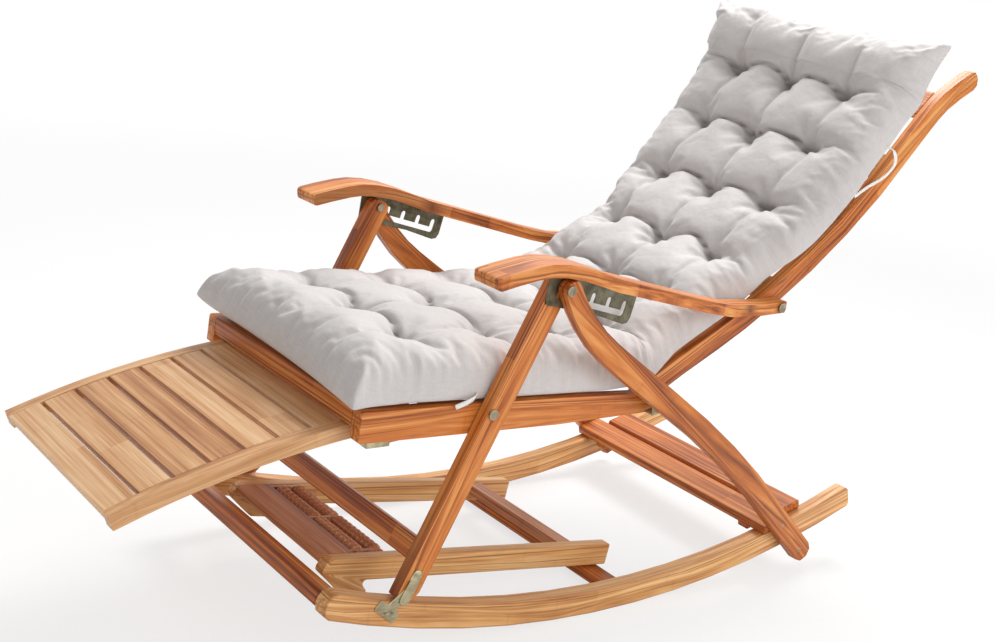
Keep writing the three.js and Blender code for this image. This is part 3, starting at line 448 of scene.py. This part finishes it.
def cotton(name, colours):
    """Satin cotton with a fine weave, slubs, pressed wrinkles and painted shade darkening its folds."""
    g = Graph(bpy.data.materials.new(name))
    place = g.attribute("cloth", "Vector")
    fold = g.attribute("fold")
    threads = [g.math("SINE", g.math("MULTIPLY", way, 2 * math.pi / THREAD)) for way in g.split(place)[:2]]
    weave = g.math("MULTIPLY", *threads)
    slub = g.noise(place, (60, 900, 60), 3.0, 0.6)
    cross_slub = g.noise(place, (900, 60, 60), 3.0, 0.6)
    cloud = g.noise(place, 7.0, 3.0, 0.5)
    crumple = g.noise(place, 26.0, 5.0, 0.62)
    total = g.weighed(0.5, ((slub, 0.5), (cross_slub, 0.35), (cloud, 0.35)), ((weave, 0.05),))
    colour = g.ramp(total, COTTON_STOPS, colours)
    # Painted shade: the colour is darkened where the cloth folds at the creases and tufts
    colour = g.shaded(colour, FOLD_PAINTED_SHADE, g.math("MULTIPLY", g.math("POWER", fold, FOLD_PAINTED_SHADE_POWER), FOLD_PAINTED_SHADE_SHARE))

    ridge = g.math("ABSOLUTE", g.math("SUBTRACT", g.noise(place, 11.0), 0.5))
    ridge = g.remap(ridge, (0.0, 0.10), (1.0, 0.0))
    ridge = g.math("MULTIPLY", ridge, g.math("MULTIPLY_ADD", fold, 0.9, 0.5))
    wrinkles = g.math("MULTIPLY_ADD", ridge, -0.35, g.math("MULTIPLY", crumple, 0.6))
    coarse = g.bump(wrinkles, CRUMPLE_RELIEF)
    fine = g.bump(g.math("MULTIPLY_ADD", weave, 0.35, slub), WEAVE_RELIEF, coarse)
    return g.finish(colour, g.remap(slub, (0.3, 0.7), (0.66, 0.8)), fine, COTTON_SHEEN)


def show(obj):
    bpy.context.scene.collection.objects.link(obj)
    return obj


def smooth(mesh, wanted=True):
    mesh.polygons.foreach_set("use_smooth", [wanted] * len(mesh.polygons))


def plain_mesh(name, vertices, faces, rounded=True):
    mesh = bpy.data.meshes.new(name)
    mesh.from_pydata([tuple(v) for v in vertices], [], faces)
    smooth(mesh, rounded)
    mesh.update()
    return show(bpy.data.objects.new(name, mesh))


def points_of(mesh, what="co"):
    """The places of a mesh's points, or their normals."""
    values = np.zeros(len(mesh.vertices) * 3)
    mesh.vertices.foreach_get(what, values)
    return values.reshape(-1, 3)


def put_points(mesh, places):
    mesh.vertices.foreach_set("co", places.ravel())
    mesh.update()


def put_attribute(mesh, name, values):
    """Stores a number or a vector for each point."""
    values = np.asarray(values, np.float32)
    kind, key = ("FLOAT", "value") if values.ndim == 1 else ("FLOAT_VECTOR", "vector")
    mesh.attributes.new(name, kind, "POINT").data.foreach_set(key, values.ravel())


def settled(obj):
    """The same object with its modifiers applied."""
    bpy.context.view_layer.update()
    shown = obj.evaluated_get(bpy.context.evaluated_depsgraph_get())
    mesh = bpy.data.meshes.new_from_object(shown)
    obj.modifiers.clear()
    obj.data = mesh
    return obj


def spline(path, steps):
    """Points on a smooth curve through the path."""
    line = []
    for i in range(len(path) - 1):
        a, b, c, d = (path[min(max(k, 0), len(path) - 1)] for k in (i - 1, i, i + 1, i + 2))
        for t in np.linspace(0, 1, steps, endpoint=False):
            line.append(0.5 * (2 * b + (c - a) * t + (2 * a - 5 * b + 4 * c - d) * t ** 2
                               + (3 * b - a - 3 * c + d) * t ** 3))
    line.append(path[-1])
    return line


def tube_faces(rings, around):
    """Faces of a closed tube of rings with a number of points around."""
    faces = []
    for start in range(0, (rings - 1) * around, around):
        for k in range(around):
            a, b = start + k, start + (k + 1) % around
            faces.append((a, b, b + around, a + around))
    faces.append(tuple(range(around))[::-1])
    faces.append(tuple(range((rings - 1) * around, rings * around)))
    return faces


def softened(node, width, steps, crisp):
    """A copy of a CAD node with its sharp edges rounded; the rounded faces carry the attribute edge."""
    bm = bmesh.new()
    bm.from_mesh(nodes[node].data)
    bmesh.ops.remove_doubles(bm, verts=bm.verts, dist=MERGE_GAP)
    bmesh.ops.dissolve_limit(bm, angle_limit=FLAT_ANGLE, verts=bm.verts, edges=bm.edges)
    layer = bm.faces.layers.float.new("edge")
    sharp = [e for e in bm.edges if len(e.link_faces) == 2 and e.calc_face_angle(0) > BEVEL_ANGLE]
    made = bmesh.ops.bevel(bm, geom=sharp, offset=width, segments=steps, profile=0.5, affect="EDGES",
                           clamp_overlap=True)
    for face in made["faces"]:
        face[layer] = 1
    mesh = bpy.data.meshes.new(node)
    bm.to_mesh(mesh)
    bm.free()
    smooth(mesh)
    obj = show(bpy.data.objects.new(f"{node}.dressed", mesh))
    if crisp:
        mesh.set_sharp_from_angle(angle=CRISP_ANGLE)
        return obj
    weighted = obj.modifiers.new("weighted", "WEIGHTED_NORMAL")
    weighted.keep_sharp = False
    return settled(obj)


def run_grain(obj, direction, number, tone):
    """Writes how far each point lies along, across and through the wood, and the tone of the board."""
    co = points_of(obj.data)
    side = co[:, 1:] - co[:, 1:].mean(0)
    _, _, axes = np.linalg.svd(side, full_matrices=False)
    if direction == "across":
        wide = side @ axes.T
        grain = np.stack([co[:, 0], wide[:, 0], wide[:, 1]], 1)
    else:
        if axes[0][0] < 0:
            axes[0] = -axes[0]
        axes[1] = (-axes[0][1], axes[0][0])
        run, rise = side @ axes[0], side @ axes[1]
        bend = np.polynomial.Polynomial.fit(run, rise, BEND_DEGREE if len(run) > BEND_POINTS else 1)
        rise = rise - bend(run)
        through = co[:, 0] - co[:, 0].mean()
        grain = np.stack([run, rise, through] if direction == "side" else [run, through, rise], 1)
    grain[:, 0] += GRAIN_STEP * number + GRAIN_START
    put_attribute(obj.data, "grain", grain)
    put_attribute(obj.data, "tone", np.full(len(co), tone))


def dress(node, width, material, steps=3, crisp=False, grain=None):
    """Replaces a CAD node by its rounded copy in a finished material."""
    obj = softened(node, width, steps, crisp)
    obj.data.materials.clear()
    obj.data.materials.append(material)
    if grain:
        run_grain(obj, *grain)
    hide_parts(node)
    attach(obj, nodes[node]["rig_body"])


def material_of(node):
    return next(p["material_slot"] for p in frame["record"]["subparts"] if p["node"] == node)


def edge_width(node):
    """How wide the rounded edges of a wooden node are."""
    if node.startswith(("armrest", "back_rail")):
        return EDGE_HAND
    if "slat" in node or "board" in node:
        return EDGE_BOARD
    if "roller" in node and "rail" not in node:
        return EDGE_ROLLER
    return EDGE_RAIL


def grain_direction(node):
    """side and across run lengthwise and sidewise; board and joined lie flat."""
    if node == "footrest_frame":
        return "joined"
    if node.startswith("armrest"):
        return "board"
    return "across" if any(word in node for word in ACROSS) else "side"


# Camera
camera_data = bpy.data.cameras.new("camera")
camera_data.lens = CAMERA_LENS
camera_data.sensor_width = CAMERA_SENSOR
camera = show(bpy.data.objects.new("camera", camera_data))
camera.location = CAMERA_PLACE
camera.rotation_euler = [math.radians(a) for a in CAMERA_TURN]
bpy.context.scene.camera = camera

# Lamps
for name, place, aim, size, power in LAMPS:
    lamp_data = bpy.data.lights.new(name, "AREA")
    lamp_data.size = size
    lamp_data.energy = power
    lamp = show(bpy.data.objects.new(name, lamp_data))
    lamp.location = place
    lamp.rotation_euler = (Vector(aim) - Vector(place)).to_track_quat("-Z", "Y").to_euler()

# World: grey light on the object, white where camera, gloss or glass see it
sky = Graph(bpy.data.worlds.new("studio"))
bpy.context.scene.world = sky.owner
dim = sky.fill("Background", {"Color": WHITE, "Strength": WORLD_STRENGTH})
bright = sky.add("Background", {"Color": WHITE, "Strength": 1})
ray = sky.add("LightPath").outputs
seen = sky.math("MAXIMUM", ray["Is Camera Ray"], ray["Is Glossy Ray"])
seen = sky.math("MAXIMUM", seen, ray["Is Transmission Ray"])
light = sky.add("MixShader", {0: seen, 1: dim.outputs[0], 2: bright.outputs[0]})
sky.fill("World Output", {"Surface": light.outputs[0]})

# Floor
corners = [(x * FLOOR_HALF, y * FLOOR_HALF, 0) for x, y in ((-1, -1), (1, -1), (1, 1), (-1, 1))]
floor = plain_mesh("floor", corners, [(0, 1, 2, 3)], False)
ground = Graph(bpy.data.materials.new("floor_white"))
paint = ground.fill("Principled BSDF", FLOOR_LOOK)
glow = ground.add("Emission", {"Color": WHITE, "Strength": 1.0})
place = ground.add("TexCoord").outputs["Object"]
away = ground.add("VectorMath", {0: place}, operation="LENGTH").outputs["Value"]
camera_ray = ground.add("LightPath").outputs["Is Camera Ray"]
share = ground.math("MULTIPLY", camera_ray, ground.remap(away, GLOW_REACH, GLOW_SHARE))
surface = ground.add("MixShader", {0: share, 1: paint.outputs[0], 2: glow.outputs[0]})
ground.fill("Material Output", {"Surface": surface.outputs[0]})
floor.data.materials.append(ground.owner)

# Finishes
wood = {
    "bamboo_frame": bamboo("bamboo_frame_finish", ("#80380f", "#ca732e", "#e8a25a"), FRAME_GLUE),
    "bamboo_rocker": bamboo("bamboo_rocker_finish", ("#ac6a36", "#e4ab6c", "#f8d29a"), ROCKER_GLUE),
    "bamboo_board": bamboo("bamboo_board_finish", BOARD_COLOURS, (), BOARD_STRIP, BOARD_CONTRAST),
    "bamboo_dark": bamboo("bamboo_dark_finish", ("#8a4b31", "#c8855c", "#e6b085"), (), 0.02),
}
wood_joined = bamboo("bamboo_footrest_finish", BOARD_COLOURS, (), BOARD_STRIP, BOARD_CONTRAST,
                     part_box("footrest_board_1")[1].x)
steel = metal("steel_bolt_finish", ("#7a6f5e", "#b3a78f"), 0.36, (900, 40, 40), 120)
bronze = metal("bronze_plate_finish", ("#4f4b3a", "#7d7864"), 0.42, (60, 700, 60), 60)
strap_bronze = metal("bronze_strap_finish", ("#8d8468", "#c6bd9c"), 0.4, (60, 60, 700), 60)
fabric = cotton("cushion_cotton_finish", ("#bab5b3", "#cdc8c6", "#dbd7d5"))
tape_cotton = cotton("tape_cotton_finish", ("#dcdad6", "#efeeeb", "#fbfaf8"))

# Every rigid CAD node is shown as a rounded copy
rigid = [node for node in sorted(nodes) if material_of(node) in (*wood, "steel_bolt", "bronze_plate")]
for number, node in enumerate(rigid):
    finish = material_of(node)
    if finish == "steel_bolt":
        dress(node, EDGE_BOLT, steel)
    elif finish == "bronze_plate":
        dress(node, EDGE_PLATE, bronze if node.startswith("rack") else strap_bronze, 1, True)
    else:
        look = wood["bamboo_dark"] if node.startswith("foot_roller") else wood[finish]
        if node == "footrest_frame":
            look = wood_joined
        grain = (grain_direction(node), number, BOARD_TONES.get(node, 0.0))
        dress(node, edge_width(node), look, grain=grain)


# Cushion
def resampled(path, step):
    """Points, directions and lengths along a smooth curve through the path."""
    line = np.array(spline(np.array(path), CURVE_STEPS))
    lengths = np.concatenate([[0], np.cumsum(np.linalg.norm(np.diff(line, axis=0), axis=1))])
    places = np.linspace(0, lengths[-1], int(round(lengths[-1] / step)) + 1)
    points = np.stack([np.interp(places, lengths, line[:, k]) for k in (0, 1)], 1)
    turn = np.gradient(points, axis=0)
    turn /= np.linalg.norm(turn, axis=1)[:, None]
    return points, turn, places


def profile(pairs, values):
    """A value for each place, from pairs of place and value."""
    return np.interp(values, *zip(*pairs))


def wave(values, period, seed):
    """A smooth repeatable unevenness between -1 and 1."""
    turns = np.random.default_rng(seed).uniform(0, 2 * math.pi, 4)
    parts = [np.sin(2 * math.pi * values / period * k + turns[i]) for i, k in enumerate((1, 0.61, 1.73, 2.37))]
    return sum(parts) / 2.6


def near(values, reach):
    """1 at the edge, falling to 0 at reach from it."""
    return np.clip(1 - values / reach, 0, 1)


def far(values, reach):
    """0 at the edge, rising to 1 at reach from it."""
    return np.clip(values / reach, 0, 1)


# A grid over the cushion: run is the length along it, across the distance from its middle line
points, turn, places = resampled(PAD_PATH, PAD_CELL)
upward = np.stack([-turn[:, 1], turn[:, 0]], 1)
total_length = places[-1]
rows = len(places)
columns = int(round(PAD_SPAN / PAD_CELL)) // 2 * 2 + 1
half_width = profile(PAD_HALVES, places)
uneven = PAD_UNEVEN + PAD_UNEVEN * wave(places, PAD_UNEVEN_PERIOD, 3)
half_width -= uneven * profile(PAD_UNEVEN_SHARES, places)
run, part = np.meshgrid(places, np.linspace(-1, 1, columns), indexing="ij")
across = part * half_width[:, None]
from_side = half_width[:, None] - np.abs(across)
from_end = np.minimum(run, total_length - run)
from_rim = np.minimum(from_end, from_side)

# Tufts, puckers and the sewn creases of the rows and columns
tuft = np.zeros_like(run)
crease = np.zeros_like(run)
pucker = np.zeros_like(run)
dice = np.random.default_rng(7)
for row in TUFT_ROWS:
    bow = ROW_BOW * np.abs(np.sin(across / TUFT_COLUMNS[2] * math.pi)) ** ROW_BOW_POWER
    bow = bow + ROW_SWAY[0] * wave(across, ROW_SWAY[1], int(row * 1000))
    inside = np.clip((from_rim - ROW_FADE[0]) / ROW_FADE[1], ROW_FADE[2], 1)
    crease = np.maximum(crease, np.exp(-np.abs(run - row - bow) / CREASE_WIDTH) * inside)
    for column in TUFT_COLUMNS:
        ahead = run - row - dice.normal(0, TUFT_SHAKE[0])
        beside = across - column - dice.normal(0, TUFT_SHAKE[1])
        away = np.hypot(ahead, beside)
        tuft = np.maximum(tuft, np.exp(-(away / TUFT_RADIUS) ** TUFT_POWER))
        fan = np.sin(np.arctan2(beside, ahead) * dice.integers(*PUCKER_FOLDS) + dice.uniform(*PUCKER_TURNS))
        ring = np.exp(-((away - PUCKER_REACH) / PUCKER_WIDTH) ** 2)
        pucker += fan * ring * dice.uniform(*PUCKER_SHARES)
for column in TUFT_COLUMNS:
    sway = COLUMN_SWAY[0] * wave(run, COLUMN_SWAY[1], int(column * 1000) + 500)
    inside = np.clip(from_end / COLUMN_FADE[0] - COLUMN_FADE[1], 0, 1)
    crease = np.maximum(crease, COLUMN_SHARE * np.exp(-np.abs(across - column - sway) / CREASE_WIDTH) * inside)

# Gathers at right angles to the rim, rounding towards the rim, and wrinkles
gather_side = wave(run, GATHER_SIDE[0], 21) * np.exp(-from_side / GATHER_SIDE[1])
gather_end = wave(across, GATHER_END[0], 22) * np.exp(-from_end / GATHER_END[1])
gather = GATHER_HEIGHT * (gather_side + gather_end) * far(from_rim, GATHER_FADE)
roll = np.minimum(np.minimum(run / ROUND_FRONT, (total_length - run) / ROUND_TOP), from_side / ROUND_SIDE)
swell = np.sqrt(np.clip(1 - (1 - np.clip(roll, 0, 1)) ** 2, 0, 1))
stress = near(from_rim, WRINKLE_REACH) + WRINKLE_TUFTS * tuft
wrinkle = (wave(run + 0.35 * across, 0.024, 31) * wave(across, 0.19, 32)
           + wave(across - 0.3 * run, 0.027, 33) * wave(run, 0.23, 34))

# Heights above the path, the stand-off and the bow of the ends
rim_height = profile(PAD_RIMS, run)
top_height = rim_height + (PAD_THICK - rim_height) * swell
top_height = top_height + WRINKLE_HEIGHT * wrinkle * stress * far(from_rim, WRINKLE_FADE)
top_height = top_height - (TUFT_DEPTH * tuft + CREASE_DEPTH * crease) * swell
top_height = top_height + PUCKER_HEIGHT * pucker * swell + gather
under_height = rim_height * (1 - far(from_rim, RIM_CLOSE)) ** 2
top_share = np.clip((run - TOP_TWIST_FROM) / (total_length - TOP_TWIST_FROM), 0, 1) ** TOP_TWIST_POWER
lift = profile(PAD_LIFTS, run) - TOP_TWIST * top_share * part
lift = lift + FRONT_TWIST * (near(run, FRONT_TWIST_REACH) ** 2) * -part
end_bow = END_BOW * (1 - part ** 2) * (near(run, END_BOW_REACH) - near(total_length - run, END_BOW_REACH))


def lifted(height):
    """Points that stand at a height above the path of the underside."""
    height = height + lift
    y, z = (points[:, k][:, None] + upward[:, k][:, None] * height + turn[:, k][:, None] * end_bow
            for k in (0, 1))
    return np.stack([across, y, z], -1).reshape(-1, 3)


# Its mesh: the top and the underside share the points of the rim
count = rows * columns
index = np.arange(count).reshape(rows, columns)
rim = np.concatenate([index[0, :-1], index[:-1, -1], index[-1, :0:-1], index[:0:-1, 0]])
inner = np.ones(count, bool)
inner[rim] = False
below = np.empty(count, int)
below[rim] = rim
below[inner] = count + np.arange(inner.sum())
quads = []
for i in range(rows - 1):
    for j in range(columns - 1):
        quad = [index[i, j], index[i, j + 1], index[i + 1, j + 1], index[i + 1, j]]
        quads.append(tuple(quad))
        quads.append(tuple(below[quad[::-1]]))
pad = plain_mesh("cushion_pad", np.vstack([lifted(top_height), lifted(under_height)[inner]]), quads)
pad.data.materials.append(fabric)
# The folds at the creases and tufts: they are sunk below the top and get painted shade in the cotton
fold = np.clip(crease ** 2 * swell + FOLD_TUFTS * tuft ** 2, 0, 1)
put_attribute(pad.data, "fold", np.concatenate([fold.ravel(), np.zeros(inner.sum())]))
flat = np.stack([across.ravel(), run.ravel(), np.zeros(count)], 1)
put_attribute(pad.data, "cloth", np.vstack([flat, flat[inner] + UNDERSIDE_SHIFT]))


def inflate(obj, firmness):
    """Blows a pad up with the cloth solver; firmness says how far each point is held."""
    held = obj.vertex_groups.new(name="held")
    for k in np.nonzero(firmness > 0)[0]:
        held.add([int(k)], float(firmness[k]), "REPLACE")
    cloth = obj.modifiers.new("cloth", "CLOTH")
    for key, value in CLOTH_SETTINGS.items():
        setattr(cloth.settings, key, value)
    cloth.settings.effector_weights.gravity = 0
    cloth.collision_settings.use_collision = False
    cloth.collision_settings.use_self_collision = False
    cloth.point_cache.frame_start = 1
    cloth.point_cache.frame_end = CLOTH_FRAMES
    scene = bpy.context.scene
    for number in range(1, CLOTH_FRAMES + 1):
        scene.frame_set(number)
    before = points_of(obj.data)
    settled(obj)
    move = points_of(obj.data) - before
    reach = np.linalg.norm(move, axis=1)
    move *= (CLOTH_CAP * np.tanh(reach / CLOTH_CAP) / np.maximum(reach, 1e-9))[:, None]
    put_points(obj.data, before + move)
    scene.frame_set(1)


firmness = np.ones(count + inner.sum())
firmness[:count] = np.clip((tuft.ravel() - HELD_TUFTS[0]) / HELD_TUFTS[1], 0, 1)
firmness[rim] = 1
inflate(pad, firmness)
finer = pad.modifiers.new("finer", "SUBSURF")
finer.levels = finer.render_levels = 1
settled(pad)
depth = np.zeros(len(pad.data.vertices))
pad.data.attributes["fold"].data.foreach_get("value", depth)
outward = points_of(pad.data, "normal")
put_points(pad.data, points_of(pad.data) - outward * (FOLD_DEPTH * depth ** FOLD_SHARPNESS)[:, None])
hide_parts("seat_cushion", "back_cushion")
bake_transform(pad)


# Small fittings and ties that only the picture shows
def fitting(name, obj, body, material, crisp=True):
    """Names a small added piece, finishes it and lets it ride on a body."""
    obj.name = name
    obj.data.materials.clear()
    obj.data.materials.append(material)
    if crisp:
        obj.data.set_sharp_from_angle(angle=CRISP_ANGLE)
    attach(obj, body)


def screw_head(x, place, side, size):
    """A domed head with a round driver recess; side is 1 where it looks to the left."""
    radius, height = size
    turn_to = Vector((side, 0, 0)).to_track_quat("Z", "Y")
    vertices = []
    for reach, rise in SCREW_PROFILE:
        for k in range(SCREW_STEPS):
            angle = 2 * math.pi * k / SCREW_STEPS
            spot = Vector((math.cos(angle) * reach * radius, math.sin(angle) * reach * radius, rise * height))
            vertices.append(Vector((side * x, *place)) + turn_to @ spot)
    return plain_mesh("screw", vertices, tube_faces(len(SCREW_PROFILE), SCREW_STEPS))


def tape(path, size, side):
    """A cotton tape along a smooth path; side is the direction of its width."""
    width, thick = size
    side = Vector(side)
    line = spline([Vector(p) for p in path], TIE_STEPS)
    vertices = []
    for i, spot in enumerate(line):
        ahead = (line[min(i + 1, len(line) - 1)] - line[max(i - 1, 0)]).normalized()
        wide = (side - ahead * ahead.dot(side)).normalized()
        out = ahead.cross(wide)
        for w, t in TIE_PROFILE:
            vertices.append(spot + wide * w * width / 2 + out * t * thick / 2)
    obj = plain_mesh("tape", vertices, tube_faces(len(line), len(TIE_PROFILE)))
    put_attribute(obj.data, "cloth", [v[:] for v in vertices])
    return obj


def block(low, high, width):
    """A box with rounded edges."""
    corners = [(x, y, z) for x in (low[0], high[0]) for y in (low[1], high[1]) for z in (low[2], high[2])]
    faces = [(0, 1, 3, 2), (4, 6, 7, 5), (0, 4, 5, 1), (2, 3, 7, 6), (0, 2, 6, 4), (1, 5, 7, 3)]
    obj = plain_mesh("block", corners, faces)
    bm = bmesh.new()
    bm.from_mesh(obj.data)
    bmesh.ops.bevel(bm, geom=bm.edges[:], offset=width, segments=BLOCK_STEPS, profile=0.5, affect="EDGES")
    bm.to_mesh(obj.data)
    bm.free()
    smooth(obj.data)
    return obj


leg_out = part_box("rear_leg_left")[1].x
plate_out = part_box("hinge_plate_left")[1].x
for side, name in SIDES:
    for k, spot in enumerate(PLATE_SCREWS, 1):
        head = screw_head(plate_out - PLATE_SCREW_SINK, spot, side, PLATE_SCREW_SIZE)
        fitting(f"plate_screw_{name}_{k}", head, "rocker_base", steel)
    head = screw_head(leg_out, LEG_SCREW, side, LEG_SCREW_SIZE)
    fitting(f"leg_screw_{name}", head, "rear_legs", steel)
    head = screw_head(leg_out, BOARD_SCREW, side, BOARD_SCREW_SIZE)
    fitting(f"board_screw_{name}", head, "rear_legs", steel)
    low, high = sorted((side * TAB_LOW[0], side * TAB_HIGH[0]))
    tab = block((low, *TAB_LOW[1:]), (high, *TAB_HIGH[1:]), TAB_EDGE)
    fitting(f"stop_tab_{name}", tab, "seat", strap_bronze)

rail_low, rail_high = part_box("seat_front_rail")
lip = block((rail_low.x, rail_low.y + LIP_BACK, rail_low.z - LIP_DROP),
            (rail_high.x, rail_high.y, rail_low.z + LIP_SINK), LIP_EDGE)
fitting("front_rail_lip", lip, "seat", wood["bamboo_frame"])
run_grain(lip, "across", LIP_GRAIN, 0.0)

seat_tie = tape(SEAT_TIE, SEAT_TIE_SIZE, SEAT_TIE_SIDE)
fitting("seat_tie", seat_tie, "seat", tape_cotton, False)
back_tie = tape(BACK_TIE, BACK_TIE_SIZE, BACK_TIE_SIDE)
fitting("back_tie", back_tie, "backrest", tape_cotton, False)

bpy.context.scene.view_settings.view_transform = "Standard"
bpy.context.view_layer.update()
